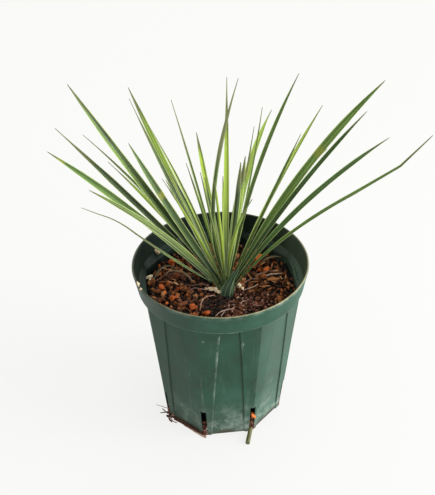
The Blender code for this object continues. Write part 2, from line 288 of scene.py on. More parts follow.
potSettings = {
    "height": 122, "bandHeight": 15.6, "rimRadius": 60, "bandFootRadius": 57, "bandWall": 1.3,
    "lipRound": 0.65, "footRound": 0.5, "corners": 8, "firstCorner": 28.2,
    # at the foot and below the band: radius of the pleats' ridges and edges, and their half width
    "ridge": (43.7, 55.7), "pleatEdge": (42.1, 53.3), "pleatHalf": (6, 15.5),
    "step": 0.8, "stepAngle": 0.5, "wall": 1.5, "innerStep": 0.3,
    "base": 1.6, "chamfer": 0.5, "arch": 2.0, "footShift": (-1.3, -0.5),
    "slitWidth": 4.1, "slitHeight": 25, "slitInner": 29,
    "samples": (8, 2, 16, 2, 8),      # points along a pleat's half, its step, a panel, and back
    # rings of points: how many up the body, and how far above or below the band's foot the others are
    "bodyRings": 26, "bandRings": (0.6, 4, 8, 12), "inBand": (12, 8, 4, 1.8),
    "inBody": (1.9, 4, 8, 14, 42.56, 74.48),
    "swell": 0.25, "swellSize": 26,   # how unevenly the filled wall bulges, in millimetres
    "edgeWidth": 0.35,                # of the pale line on a pleat's edge, partly wear and partly painted highlight
    "grooveWidth": 1.1,               # of the painted shade at a pleat's step
    "bandLine": (0.35, 0.55),         # half width of the pale line at the band's foot, a painted highlight with some wear, elsewhere and there
    # lines on the pleats: pleat (0 is the one at firstCorner), edge (-1 left, 0 ridge, 1 right), how
    # strongly it is painted pale, partly wear and partly painted highlight (below 0: how much painted shade
    # lies in its step), and from which height to which
    "edgeWearLightAndShade": ((6, 1, -1.0, 8, 106), (0, -1, -1.0, 12, 106), (1, -1, -1.0, 8, 106), (5, 1, -0.6, 8, 106),
               (7, 1, 1.7, 76, 102), (7, 1, 0.6, 0, 80), (7, 0, 0.35, 20, 62), (0, 0, 0.6, 42, 54),
               (0, -1, 0.4, 84, 94), (1, 1, 0.25, 10, 100), (4, 1, 0.4, 20, 90), (3, 0, 0.3, 30, 80)),
    "bandHighlight": (4, 16, 0.4, 1.6),     # azimuth and half width of the arc where the painted highlight is brightest; strength off it, on it
    "lipHighlight": (40, 0.2, 1.1),         # azimuth of the side where the painted highlight on the lip is brightest; strength behind and there
}


def pleatStops(s, t, corner, inset=0.0, step=None):
    # azimuth and radius of the points where a pleat bends
    ridge, edge = mixed(s["ridge"], t) - inset, mixed(s["pleatEdge"], t) - inset
    half, drop = mixed(s["pleatHalf"], t), s["step"] if step is None else step
    sector = 360 / s["corners"]
    start = s["firstCorner"] + corner * sector
    return [(start, ridge), (start + half, edge), (start + half + s["stepAngle"], edge - drop),
            (start + sector - half - s["stepAngle"], edge - drop),
            (start + sector - half, edge), (start + sector, ridge)]


def bodyOutline(s, z, inset=0.0, step=None):
    # points round the pleated body at a height, all in millimetres
    t = z / (s["height"] - s["bandHeight"])
    shift = Vector((*s["footShift"], 0)) * (1 - t)
    points = []
    for corner in range(s["corners"]):
        stops = pleatStops(s, t, corner, inset, step)
        for first, last, count in zip(stops, stops[1:], s["samples"]):
            a, b = polar(*first, z), polar(*last, z)
            points += [a.lerp(b, i / count) + shift for i in range(count)]
    return points


def roundOutline(s, z, radius):
    count = s["corners"] * sum(s["samples"])
    return [polar(s["firstCorner"] + 360 * i / count, radius, z) for i in range(count)]


def potRings(s):
    top = s["height"] - s["bandHeight"]
    slope = (s["rimRadius"] - s["bandFootRadius"]) / s["bandHeight"]
    panelStart, panel = sum(s["samples"][:2]), s["samples"][2]

    def band(z):
        return s["bandFootRadius"] + slope * (z - top)

    def rounded(z, middle, radius, degrees):
        # heights and radii round an edge
        turns = [math.radians(d) for d in degrees]
        return [(z + radius * math.sin(turn), middle + radius * math.cos(turn)) for turn in turns]

    def swollen(ring):
        # the damp mix presses the thin wall out unevenly
        for p in ring:
            fade = max(0, min(1, p.z / 20, (top - p.z) / 12))
            spot = Vector((p.x, p.y, p.z * 0.7)) / s["swellSize"]
            p.xy *= 1 + noise.noise(spot) * s["swell"] * fade / p.xy.length
        return ring

    foot = bodyOutline(s, s["chamfer"])
    for i, p in enumerate(foot):
        across = (i % sum(s["samples"]) - panelStart) / panel
        if 0 < across < 1:
            p.z += s["arch"] * math.sin(math.pi * across)
    rings = [bodyOutline(s, 0, s["chamfer"] + 0.35), bodyOutline(s, 0.15, 0.15), foot]
    heights = [3.2 + (top - 3.6) * i / s["bodyRings"] for i in range(s["bodyRings"] + 1)]
    rings += [swollen(bodyOutline(s, z)) for z in heights] + [bodyOutline(s, top - 0.1)]
    lip, bend = s["lipRound"], s["footRound"]
    profile = [(top - 0.3, band(top) - 0.8)]
    profile += rounded(top + 0.2, band(top) - bend, bend, (-80, -50, -20))
    profile += [(top + z, band(top + z)) for z in s["bandRings"]]
    profile += rounded(s["height"] - lip, band(s["height"]) - lip, lip, range(0, 181, 20))
    profile += [(top + z, band(top + z) - s["bandWall"]) for z in s["inBand"]]
    rings += [roundOutline(s, z, radius) for z, radius in profile]
    heights = [top - drop for drop in s["inBody"]] + [s["base"]]
    return rings + [bodyOutline(s, z, s["wall"], s["innerStep"]) for z in heights]


def markWearLightAndShade(s, mesh):
    # where the pot is painted pale or dark: lines on the pleats, partly wear and partly painted highlight,
    # with painted shade in their steps; painted highlights at the band's foot and the lip; and what is its
    # inside
    top = (s["height"] - s["bandHeight"]) * mm
    worn, inside = [], []
    for v in mesh.vertices:
        t = v.co.z / top
        spot = v.co / mm - Vector((*s["footShift"], 0)) * (1 - t)
        out = spot.xy.length
        azimuth = math.degrees(math.atan2(spot.x, -spot.y))
        half, most = mixed(s["pleatHalf"], t), 0.0
        proud = out > mixed(s["pleatEdge"], t) - s["step"] * 0.6
        for pleat, edge, strength, low, high in s["edgeWearLightAndShade"]:
            off = (azimuth - s["firstCorner"] - pleat * 360 / s["corners"] - edge * half + 180) % 360 - 180
            width = s["edgeWidth"] if strength > 0 else s["grooveWidth"]
            near = abs(off) * math.radians(1) * out < width and low < spot.z < high
            if near and proud == (strength > 0):
                most = max(most, strength) if proud else min(most, strength)
        middle, reach, *strengths = s["bandHighlight"]
        share = max(0, 1 - abs(azimuth - middle) / reach)
        if abs(v.co.z - top) < mixed(s["bandLine"], share) * mm and out > s["bandFootRadius"] - 0.6:
            most = mixed(strengths, share)
        if v.co.z > (s["height"] - 1) * mm:
            middle, *strengths = s["lipHighlight"]
            most = mixed(strengths, max(0, math.cos(math.radians(azimuth - middle))))
        worn.append(most)
        inside.append(1.0 if v.normal.xy.dot(v.co.xy.normalized()) < -0.3 else 0.0)
    markPoints(mesh, worn=worn, inside=inside)


def makePot(s, material):
    mesh = ringMesh("pot_shell", potRings(s))
    shaper = openMesh(mesh)
    bmesh.ops.recalc_face_normals(shaper, faces=shaper.faces)
    pot = newPiece("pot_shell", closeMesh(shaper, mesh), material)
    cutters = bmesh.new()
    inner, outer = s["slitInner"], s["ridge"][1]
    shift = Matrix.Translation(Vector((*s["footShift"], 0)) * mm)
    middle = Matrix.Translation(Vector((0, -(inner + outer) / 2, s["slitHeight"] / 2 - 1)) * mm)
    size = Matrix.Diagonal((*(Vector((s["slitWidth"], outer - inner, s["slitHeight"] + 2)) * mm), 1))
    for corner in range(s["corners"]):
        spin = Matrix.Rotation(math.radians(s["firstCorner"] + corner * 360 / s["corners"]), 4, "Z")
        bmesh.ops.create_cube(cutters, size=1, matrix=shift @ spin @ middle @ size)
    slits = newPiece("slit_cutters", closeMesh(cutters, bpy.data.meshes.new("slit_cutters")))
    cut = pot.modifiers.new("slits", "BOOLEAN")
    cut.operation, cut.solver, cut.object = "DIFFERENCE", "EXACT", slits
    keepMesh(pot, 24)
    bpy.data.objects.remove(slits)
    markWearLightAndShade(s, pot.data)
    return finishPiece(pot, "pot_plastic", "pot")


potColours = {
    # leftShade, grooveShade, insideShade and insideShadeRight are painted shade, and lip is the tint of a
    # painted highlight
    "green": "#29513f", "deep": "#21412f", "pale": "#386150", "lime": "#aebbae", "earth": "#4a3626",
    "lip": "#b8ae88", "insideShade": "#161d19", "insideShadeRight": "#5b6a5b", "grooveShade": "#12211a", "leftShade": "#26352c",
    # scuffs on the outside: their middle, width and height in millimetres, and strength
    "scuffs": (((-12.6, -52, 95.8), 2.4, 2.2, 0.7), ((-14.2, -49, 68), 1.6, 2.4, 0.6),
               ((13.8, -50, 91), 1.2, 4, 0.8), ((24, -43, 53), 1.4, 6, 0.7), ((33, -35, 40), 6, 11, 0.55),
               ((42, -33, 98), 5, 9, 0.3), ((-25, -42, 72), 0.7, 9, 0.35), ((-23, -42, 60), 0.7, 7, 0.3),
               ((4, -42, 22), 12, 9, 0.3)),
}


def makePotPlastic(c):
    # injection-moulded recycled polypropylene: satin dark green, paler where it is rubbed and where
    # highlights are painted, with painted shade in the pleats' steps, on the left and inside, and with lime
    # and dust dried on near the foot where the watering runs down
    material, add, surface = newMaterial("mouldedPolypropylene")
    where = add("TexCoord", out="Object")
    side, _, height = add("SeparateXYZ", [where]).node.outputs
    edgeWearLightAndShade, inside = [add("Attribute", attribute_name=name, out="Fac") for name in ("worn", "inside")]
    looks = ((38, 4, 0.6), (62, 6, 0.75), (85, 5, 0.7))
    cloud, blots, nicks = [add("TexNoise", [where, *look]) for look in looks]
    base = add("ValToRGB", [cloud], stops=[(0.3, c["deep"]), (0.52, c["green"]), (0.75, c["pale"])])
    streaked = add("Mapping", {"Vector": where, "Scale": (420, 420, 14)})        # 2 mm wide runs
    streaks = add("MapRange", [add("TexNoise", [streaked, 1, 3, 0.6]), 0.58, 0.8, 0, 0.25])
    low = add("MapRange.SMOOTHSTEP", [height, 0.040, 0.004, 0, 1])
    lime = add("Math.MULTIPLY", [low, add("MapRange.SMOOTHSTEP", [blots, 0.44, 0.68, 0.08, 0.6])])
    dust = add("Math.MULTIPLY_ADD", [streaks, add("MapRange", [height, 0.12, 0.0, 0.15, 0.6]), lime])
    dots = add("TexVoronoi", {"Vector": where, "Scale": 190}, out="Distance")
    dot = add("MapRange", [dots, 0.15, 0.08, 0, 0.45])
    sparse = add("MapRange", [blots, 0.56, 0.62, 0, 1])
    specks = add("Math.MULTIPLY_ADD", [dot, sparse, dust], use_clamp=True)
    # painted light and shade: the right side is painted paler below the band, where the light falls, and the
    # left side darker, as shade
    paintedLeftShade = add("MapRange.SMOOTHSTEP", [side, -0.004, -0.044, 0, 0.46])
    rightLitSide = add("MapRange.SMOOTHSTEP", [side, 0.018, 0.036, 0, 0.06])
    paintedRightLight = add("Math.MULTIPLY", [rightLitSide, add("MapRange", [height, 0.108, 0.104, 0, 1])])
    ragged = add("MapRange", [nicks, 0.42, 0.64, 0.02, 0.6])
    # pale lines on the pleats and the band's foot, partly wear and partly painted highlight, and the scuffs
    wearAndHighlight = add("Math.MULTIPLY", [edgeWearLightAndShade, ragged])
    for middle, width, tall, strength in c["scuffs"]:
        off = add("VectorMath.SUBTRACT", [where, Vector(middle) * mm])
        share = add("VectorMath.MULTIPLY", [off, Vector((2 / width, 0.08, 2 / tall)) / mm])
        scuff = add("MapRange", [add("VectorMath.LENGTH", [share], out="Value"), 1.1, 0.4, 0, strength])
        wearAndHighlight = add("Math.MULTIPLY_ADD", [scuff, ragged, wearAndHighlight])
    lipHeight = add("MapRange", [height, 0.1214, 0.1219, 0, 1])
    # painted highlight along the lip, in a cream tint, brightest towards the front right
    lipSheenMask = add("Math.MULTIPLY", [lipHeight, add("MapRange", [nicks, 0.35, 0.6, 0.4, 0.9])])
    paintedLipHighlight = add("Math.MULTIPLY", [lipSheenMask, edgeWearLightAndShade], use_clamp=True)
    body = add("Math.SUBTRACT", [1, lipHeight], use_clamp=True)
    bodyWearAndHighlight = add("Math.MULTIPLY", [add("Math.MINIMUM", [wearAndHighlight, 0.9]), body], use_clamp=True)
    # painted shade: the low side of each pleat's step is painted dark, where shade falls in the groove
    held = add("Math.MULTIPLY", [edgeWearLightAndShade, -0.75], use_clamp=True)
    # painted shade: the inside is painted dark, less dark and greyer towards the right
    dry = add("MapRange.SMOOTHSTEP", [side, 0.030, 0.056, 0, 1])
    insideShadeColour = add("Mix.RGBA", [dry, c["insideShade"], c["insideShadeRight"]])
    paintedInsideShade = add("Math.MULTIPLY", [inside, add("MapRange", [nicks, 0.35, 0.6, 0.6, 0.9])])
    foot = add("MapRange.SMOOTHSTEP", [height, 0.006, 0.001, 0, 0.8])
    soiled = add("Math.MULTIPLY", [foot, add("MapRange", [nicks, 0.42, 0.58, 0, 1])])
    skin = base
    for share, tint in ((specks, c["lime"]), (paintedLeftShade, c["leftShade"]), (paintedRightLight, c["lime"]), (bodyWearAndHighlight, c["lime"]),
                        (held, c["grooveShade"]), (paintedInsideShade, insideShadeColour), (paintedLipHighlight, c["lip"]), (soiled, c["earth"])):
        skin = add("Mix.RGBA", [share, skin, tint])
    # the mould's fine grain and the long scratches are drawn about 1 mm wide, coarser than they are
    grain = add("TexNoise", [where, 900, 3])
    scratches = add("TexNoise", [add("Mapping", {"Vector": where, "Scale": (900, 900, 20)}), 1, 2])
    relief = add("Math.MULTIPLY_ADD", [grain, 0.3, scratches])
    matt = add("MapRange", [cloud, 0.3, 0.7, 0.42, 0.55])
    surface({"Base Color": skin, "Roughness": add("Math.MULTIPLY_ADD", [specks, 0.5, matt]),
             "Normal": add("Bump", {"Strength": 0.12, "Distance": 0.0004, "Height": relief}),
             "IOR": 1.49, "Specular IOR Level": 0.22})
    return material


pot = makePot(potSettings, makePotPlastic(potColours))
print("pot:", len(pot.data.polygons), "faces")


# The leaves

leafSettings = {
    "Rings": 64, "ProfilePoints": 18,
    "KeelDepth": 0.6, "ChannelDepth": 0.34, "Margin": 0.07,   # as shares of the blade's half width
}
bladeShape = {
    "baseWidth": 0.48,        # the least share of the full width near the crown
    "baseEnd": 0.3,           # how far along that holds
    "tip": 0.36 * mm,         # half width at the dried point
    "wave": 0.05,             # how unevenly the margins run
    "root": (0.35, -2.5),     # where the base starts: a share of the way out, and millimetres of height
    "rootWidth": 0.8, "threadWidth": 0.45, "endWidth": 0.6,   # shares of full width, width there, tip
    # leaves whose tips have dried to a long thread: the share of the length that is drawn in
    "threads": {"leaf_02": 0.34, "leaf_03": 0.4, "leaf_05": 0.3, "leaf_07": 0.5, "leaf_09": 0.35,
                "leaf_11": 0.35, "leaf_12": 0.3, "leaf_16": 0.55, "leaf_17": 0.12, "leaf_22": 0.2},
    # leaves that stay broad: how many times wider at the tip
    "broad": {"leaf_17": 1.5, "leaf_24": 1.7, "leaf_25": 1.8, "leaf_34": 1.3},
    # leaves with a crisp bend: the station it starts from, the one it lies by, and its place in millimetres
    "kinks": {"leaf_33": (8, 10, (111.8, -27.6, 212.5))},
    "ringGap": 2.5 * mm,      # corners further apart than this along a packed blade are in different rings
}
crownLow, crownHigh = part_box("crown")
crownCentre = (crownLow + crownHigh) / 2


def evenCurve(add, drawn, mode, step):
    # a drawn line as a smooth curve whose even points know how far along they are
    line = add("CurveSplineType", {"Curve": add("MeshToCurve", {"Mesh": drawn})}, spline_type="CATMULL_ROM")
    fine = add("ResampleCurve", {"Curve": line, mode.title(): step}, mode=mode)
    value = {"Geometry": fine, "Name": "along", "Value": add("SplineParameter", out="Factor")}
    return add("StoreNamedAttribute.FLOAT", value, domain="POINT")


def sweepOut(add, curve, profile, size, skin):
    # a profile swept along a curve, dressed and put out
    swept = add("CurveToMesh", {"Curve": curve, "Profile Curve": profile, "Scale": size, "Fill Caps": True})
    dressed = add("SetMaterial", {"Geometry": swept, "Material": skin})
    add("NodeGroupOutput", [add("RealizeInstances", [dressed])])


def bladeSweep():
    # sweeps a channelled, keeled blade along a line of stations that know their width and level
    tree, add, given = newTree("bladeSweep", Rings=64, ProfilePoints=18, KeelDepth=0.6, ChannelDepth=0.3,
                               Margin=0.06, Skin=None)
    curve = evenCurve(add, given["Geometry"], "COUNT", given["Rings"])
    level = add("InputNamedAttribute.FLOAT_VECTOR", ["level"])
    held = add("SetCurveNormal", {"Curve": curve, "Normal": level}, mode="FREE")
    circle = add("CurvePrimitiveCircle", {"Resolution": given["ProfilePoints"], "Radius": 1.0})
    x, y, _ = add("SeparateXYZ", [add("InputPosition")]).node.outputs
    value = {"Geometry": circle, "Name": "across", "Value": x}
    across = add("StoreNamedAttribute.FLOAT", value, domain="POINT")
    inward = add("Math.SUBTRACT", [1.0, add("Math.ABSOLUTE", [x])])
    below = add("Math.LESS_THAN", [y, 0.0])
    depth = add("Mix", [below, given["ChannelDepth"], given["KeelDepth"]])
    rim = add("Math.MULTIPLY", [y, given["Margin"]])
    lifted = add("Math.SUBTRACT", [rim, add("Math.MULTIPLY", [inward, depth])])
    shaped = add("SetPosition", {"Geometry": across, "Position": add("CombineXYZ", [x, lifted])})
    sweepOut(add, held, shaped, add("InputNamedAttribute.FLOAT", ["half"]), given["Skin"])
    return tree


def readBlade(name, ringGap):
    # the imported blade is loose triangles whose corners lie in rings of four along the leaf
    seen = {tuple(round(c, 6) for c in v.co): v.co.copy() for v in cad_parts[name].data.vertices}
    corners = list(seen.values())
    far, near = [pick(corners, key=lambda p: (p - crownCentre).length) for pick in (max, min)]
    reach = (far - near).normalized()
    corners.sort(key=lambda p: p.dot(reach))
    rings = [[]]
    for before, corner in zip([corners[0]] + corners, corners):
        if (corner - before).dot(reach) > ringGap:
            rings.append([])
        rings[-1].append(corner)
    rings = [ring for ring in rings if len(ring) == 4]
    centres = [sum(ring, Vector()) / 4 for ring in rings]
    pairs = [a - b for a in rings[0] for b in rings[0]]
    level = max(pairs, key=lambda d: d.length).normalized()
    stations = []
    for i, ring in enumerate(rings):
        heading = (centres[min(i + 1, len(rings) - 1)] - centres[max(i - 1, 0)]).normalized()
        left, right = [pick(ring, key=lambda p: p.dot(level)) for pick in (min, max)]
        middle, wide = (left + right) / 2, right - left
        keel = max(ring, key=lambda p: (
            p - middle - wide * (p - middle).dot(wide) / wide.length_squared).length)
        level = wide.normalized()
        level = (level - heading * level.dot(heading)).normalized()
        if heading.cross(level).dot(middle - keel) < 0:
            level.negate()
        stations.append({"middle": middle, "level": level.copy(), "half": wide.length / 2})
    return stations


def straightRun(first, last, count=8):
    # even steps from one station to another, without the first
    steps = [i / count for i in range(1, count + 1)]
    return [{"middle": first["middle"].lerp(last["middle"], t),
             "half": mixed((first["half"], last["half"]), t),
             "level": first["level"].lerp(last["level"], t).normalized()} for t in steps]


def bladeStations(name, s):
    # the blade as packed, carried on down into the crown and drawn out to a fine point
    dice = random.Random(name)
    stations = readBlade(name, s["ringGap"])
    full = max(station["half"] for station in stations)
    drawn = s["threads"].get(name, 0)
    for i, station in enumerate(stations):
        t = i / (len(stations) - 1)
        half = station["half"]
        if t < s["baseEnd"]:
            half = max(half, full * s["baseWidth"])
        elif drawn:
            half *= min(1, mixed((s["threadWidth"], 1), (1 - t) / drawn))
        half = max(half * (1 + s["wave"] * dice.uniform(-1, 1)), s["tip"])
        station["half"] = half * mixed((1, s["broad"].get(name, 1)), t)
    if name in s["kinks"]:
        start, by, place = s["kinks"][name]
        bend = {**stations[by], "middle": Vector(place) * mm}
        stations = stations[:start + 1] + straightRun(stations[start], bend) + straightRun(bend, stations[-1])
    share, drop = s["root"]
    deep = crownCentre.lerp(stations[0]["middle"], share) + up * drop * mm
    stations[-1]["half"] = s["tip"] * s["endWidth"]
    return [{"middle": deep, "level": stations[0]["level"], "half": full * s["rootWidth"]}] + stations


def sweepBlade(name, stations, skin, tones, **changes):
    mesh = lineMesh(name, [[st["middle"] for st in stations]])
    markPoints(mesh, half=[st["half"] for st in stations])
    levels = [c for st in stations for c in st["level"]]
    mesh.attributes.new("level", "FLOAT_VECTOR", "POINT").data.foreach_set("vector", levels)
    leaf = grow(newPiece(name, mesh), bladeTree, Skin=skin, **{**leafSettings, **changes})
    markPoints(leaf.data, **dict(zip(toneNames, tones)))
    return leaf


# Each leaf's looks. warm: 0 is blue-green and 1 yellow-green. light: darker or lighter. side: which
# wing is painted paler as light and the other darker as shade, + towards growing azimuth. midline: a pale
# line down the channel. dry: the share of the length that has dried at the tip. blotch: where along the leaf
# a brown-olive mark is, if any.
toneNames = ("warm", "light", "side", "midline", "dry", "blotch")
leafTones = {
    "leaf_01": (0.4, -0.38, 0.6, 0.0, 0.10, 0), "leaf_02": (0.25, -0.75, 0.2, 0.1, 0.22, 0),
    "leaf_03": (0.5, -0.45, 0.8, 0.2, 0.25, 0), "leaf_04": (0.3, 0.15, 0.3, 0.0, 0.05, 0.93),
    "leaf_05": (0.8, -0.05, -0.5, 0.3, 0.18, 0), "leaf_06": (0.5, -0.4, -0.4, 0.3, 0.06, 0),
    "leaf_07": (0.3, -0.2, 0.2, 0.0, 0.5, 0.9), "leaf_08": (0.6, 0.25, -0.5, 0.3, 0.15, 0),
    "leaf_09": (0.35, -0.6, 0.0, 0.0, 0.22, 0), "leaf_10": (0.28, -0.15, 0.4, 0.0, 0.04, 0.66),
    "leaf_11": (0.7, -0.35, 1.0, 0.6, 0.15, 0), "leaf_12": (0.4, -0.45, 0.6, 0.2, 0.3, 0),
    "leaf_13": (0.95, 0.15, 0.4, 0.3, 0.2, 0), "leaf_14": (0.5, -0.35, 0.6, 0.3, 0.2, 0),
    "leaf_15": (0.9, 0.3, 0.5, 0.4, 0.14, 0), "leaf_16": (0.85, 0.28, 0.3, 0.4, 0.3, 0),
    "leaf_17": (0.3, -0.5, 0.3, 0.1, 0.3, 0), "leaf_18": (0.4, -0.45, 0.3, 0.2, 0.2, 0),
    "leaf_19": (0.85, 0.1, 0.7, 0.5, 0.1, 0), "leaf_20": (0.9, 0.1, 0.3, 0.4, 0.08, 0),
    "leaf_21": (0.5, -0.4, 0.3, 0.2, 0.2, 0), "leaf_22": (0.7, 0.3, -0.3, 0.3, 0.08, 0),
    "leaf_23": (0.6, 0.0, 0.2, 0.2, 0.3, 0.72), "leaf_24": (0.15, -0.8, 0.2, 0.2, 0.2, 0.92),
    "leaf_25": (0.65, 0.1, 0.3, 0.3, 0.2, 0.88), "leaf_26": (0.7, 0.1, 0.2, 0.2, 0.2, 0),
    "leaf_27": (0.35, -0.1, 0.3, 0.1, 0.08, 0), "leaf_28": (0.7, 0.0, 0.2, 0.9, 0.1, 0),
    "leaf_29": (0.4, -0.3, 0.1, 0.1, 0.12, 0), "leaf_30": (0.3, 0.35, -0.25, 0.15, 0.03, 0.64),
    "leaf_31": (0.12, -0.45, 0.2, 0.1, 0.1, 0), "leaf_32": (0.15, -0.1, 0.2, 0.1, 0.08, 0),
    "leaf_33": (0.3, -0.05, 0.2, 0.1, 0.15, 0), "leaf_34": (0.6, 0.1, 0.2, 0.3, 0.2, 0),
}
plainTone = (0.3, -0.45, 0.4, 0.2, 0.12, 0)

leafColours = {
    "blueGreen": "#3f6844", "yellowGreen": "#9ab42c", "basalAndShade": "#2b4c39", "margin": "#bfcd84",
    "midline": "#cfdd66", "dry": "#6b7049", "dryTip": "#4b463a", "blotch": "#a8a53c", "fibre": "#223f1e",
}


def makeLeafSkin(name, c):
    # living leaf: waxy cuticle over fine lengthwise fibres, pale horny margins, tips dried to thread
    material, add, surface = newMaterial(name)
    along, across, warm, light, side, midline, dry, blotch = [
        add("Attribute", attribute_name=key, out="Fac") for key in ("along", "across", *toneNames)]
    patch = add("TexNoise", [add("TexCoord", out="Object"), 45, 3, 0.6])
    # near the crown the blade turns blue-green, and is painted darker there as well, as shade where the
    # leaves crowd
    base = add("MapRange.SMOOTHSTEP", [along, 0.42, 0.08, 0, 0.95])
    # the fibres are too fine to show, so bundles of them are drawn, a few across the blade
    places = [add("Math.MULTIPLY", [across, 3.4]), add("Math.MULTIPLY", [along, 3.0]), warm]
    ribs = add("TexNoise", [add("CombineXYZ", places), 1.0, 2.0])
    ribShade = add("MapRange", [ribs, 0.4, 0.62, 0, 0.55])
    edge = add("Math.ABSOLUTE", [across])
    line = add("Math.MULTIPLY", [add("MapRange.SMOOTHSTEP", [edge, 0.3, 0.05, 0, 1]), midline])
    # painted light and shade: one wing of the channel is painted paler, as lit, and the other darker, as
    # shaded
    paintedWingLight = add("Math.MULTIPLY", [add("MapRange", [across, -0.06, 0.06, -1, 1]), side])
    bright = add("Math.MULTIPLY_ADD", [paintedWingLight, 0.75, light])
    drift = add("MapRange", [patch, 0.3, 0.7, -0.25, 0.25])
    dim = add("MapRange", [add("Math.ADD", [bright, drift]), -1, 1, 0.22, 1.7])
    pale = add("MapRange.SMOOTHSTEP", [edge, 0.76, 0.9, 0, 0.9])
    off = add("Math.ABSOLUTE", [add("Math.SUBTRACT", [along, blotch])])
    spot = add("MapRange.SMOOTHSTEP", [off, 0.035, 0.005, 0, 0.6])
    ragged = add("MapRange", [patch, 0, 1, -0.06, 0.06])
    past = add("Math.ADD", [add("Math.ADD", [along, dry]), ragged])
    dried = add("MapRange.SMOOTHSTEP", [past, 0.95, 1.07, 0, 0.92])
    point = add("MapRange", [along, 0.96, 1.0, 0, 0.9])
    body = add("Mix.RGBA", [warm, c["blueGreen"], c["yellowGreen"]])
    for share, tint, way in (
            (base, c["basalAndShade"], "MIX"), (ribShade, c["fibre"], "MIX"), (line, c["midline"], "MIX"),
            (1.0, add("CombineColor", [dim, dim, dim]), "MULTIPLY"), (pale, c["margin"], "MIX"),
            (spot, c["blotch"], "MIX"), (dried, c["dry"], "MIX"), (point, c["dryTip"], "MIX")):
        body = add("Mix.RGBA", [share, body, tint], blend_type=way)
    surface({"Base Color": body, "Roughness": add("MapRange", [dried, 0, 1, 0.48, 0.78]), "IOR": 1.45,
             "Normal": add("Bump", {"Strength": 0.1, "Distance": 0.0003, "Height": ribs}),
             # light comes through the thin wings
             "Subsurface Weight": 0.15, "Subsurface Radius": (0.7, 1.0, 0.2), "Subsurface Scale": 0.0012})
    return material


bladeTree = bladeSweep()
leafSkin = makeLeafSkin("waxyLeafCuticle", leafColours)
leafNames = sorted(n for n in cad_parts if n.startswith("leaf_"))
for name in leafNames:
    stations, tones = bladeStations(name, bladeShape), leafTones.get(name, plainTone)
    finishPiece(sweepBlade(name + "_blade", stations, leafSkin, tones), "leaf", name)
print("leaves:", len(leafNames))


# The crown: closed leaf bases round a short stem

crownSettings = {
    "core": 0.5,              # the stem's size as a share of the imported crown
    "coreDrop": 1.5,
    "steps": 6, "rings": 18,
    "closing": 0.45, "bulge": 1.0,     # how far a base closes on the stem, and how far it bulges before
    "widths": (1.1, 0.62),    # share of the width at the start, and how much of it is lost by the end
    # leaf bases that show: azimuth and radius where each starts, its heights above the crown's middle
    # and how far it leans aside by its upper end, its width, in degrees and millimetres
    "sheaths": (
        (-10, 6.6, (-6, 19), 8.5, 6.4), (-42, 5.2, (-5, 5), 0.6, 3.6), (34, 5.6, (-6, 12), 4.0, 4.4),
        (-100, 5.5, (-4, 4), 0, 3.4), (95, 5.5, (-4, 5), 0, 3.4), (180, 5.2, (-4, 5), 0, 3.6),
        (-145, 5.2, (-4, 5), 0, 3.4), (140, 5.2, (-4, 5), 0, 3.4)),
    "tones": (0.0, -0.15, -0.5, 0.4, 0.0, 0),
}
sheathColours = {**leafColours, "blueGreen": "#4c6850", "basalAndShade": "#405a45", "margin": "#9bad85",
                 "fibre": "#2f4730", "midline": "#8fa57c"}


def makeCrown(s, skin):
    # each leaf base bulges out from the stem, then closes on it again
    parts = []
    for number, (azimuth, radius, heights, lean, width) in enumerate(s["sheaths"]):
        stations = []
        for i in range(s["steps"] + 1):
            t = i / s["steps"]
            out = radius * (1 - s["closing"] * t) + s["bulge"] * math.sin(math.pi * t)
            place = crownCentre + polar(azimuth, out, mixed(heights, t)) * mm
            place += polar(azimuth + 90, lean * t * t) * mm
            half = width / 2 * (s["widths"][0] - s["widths"][1] * t * t) * mm
            stations.append({"middle": place, "level": polar(azimuth + 90, 1), "half": half})
        parts.append(sweepBlade(f"sheath_{number}", stations, skin, s["tones"], Rings=s["rings"]))
    core = openMesh(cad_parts["crown"].data, weld=True)
    for v in core.verts:
        v.co = crownCentre + (v.co - crownCentre) * s["core"] - up * s["coreDrop"] * mm
    parts.append(newPiece("crown_core", closeMesh(core, bpy.data.meshes.new("crown_core")), skin))
    with bpy.context.temp_override(active_object=parts[0], selected_editable_objects=parts):
        bpy.ops.object.join()
    parts[0].name = "crown_sheaths"
    return finishPiece(parts[0], "crown", "crown")


makeCrown(crownSettings, makeLeafSkin("closedLeafBase", sheathColours))
print("crown is set")


# The substrate

soilSettings = {
    "level": 102, "wave": 0.9, "waveSize": 22,    # as packed
    "relief": 1.1, "reliefSize": 9,               # a rougher bed
    "sink": 2.4,                                  # the bed under the top granules
    "clearance": 2.15, "rings": 22, "every": 4,   # every fourth point of the pot's outline
    # the bed's side: heights, and how far it stands back from the wall there, as seen through the slits
    "sides": ((2.1, 6.65), (30, 6.65), (60, 6.65), (90, 2.75)),
    "patchSteps": 24,
    "grainLow": 90, "grainReach": 51.6,           # height and radius past which a grain would stick out
}


def soilHeight(s, x, y):
    return s["level"] + s["wave"] * noise.noise(Vector((x, y, 0)) / s["waveSize"])


def makeSoilBed(s, material):
    # the dark mass under the granules
    rings = [bodyOutline(potSettings, z, inset, 0)[::s["every"]] for z, inset in s["sides"]]
    rim = bodyOutline(potSettings, s["level"], s["clearance"], 0)[::s["every"]]
    for r in range(s["rings"], 0, -1):
        rings.append([])
        for x, y in [p.xy * (r / s["rings"]) for p in rim]:
            rough = s["relief"] * noise.noise(Vector((x, y, 5)) / s["reliefSize"])
            rings[-1].append(Vector((x, y, soilHeight(s, x, y) + rough - s["sink"])))
    mesh = ringMesh("soil_bed", rings)
    mesh.shade_smooth()
    return finishPiece(newPiece("soil_bed", mesh, material), "substrate", "substrate")


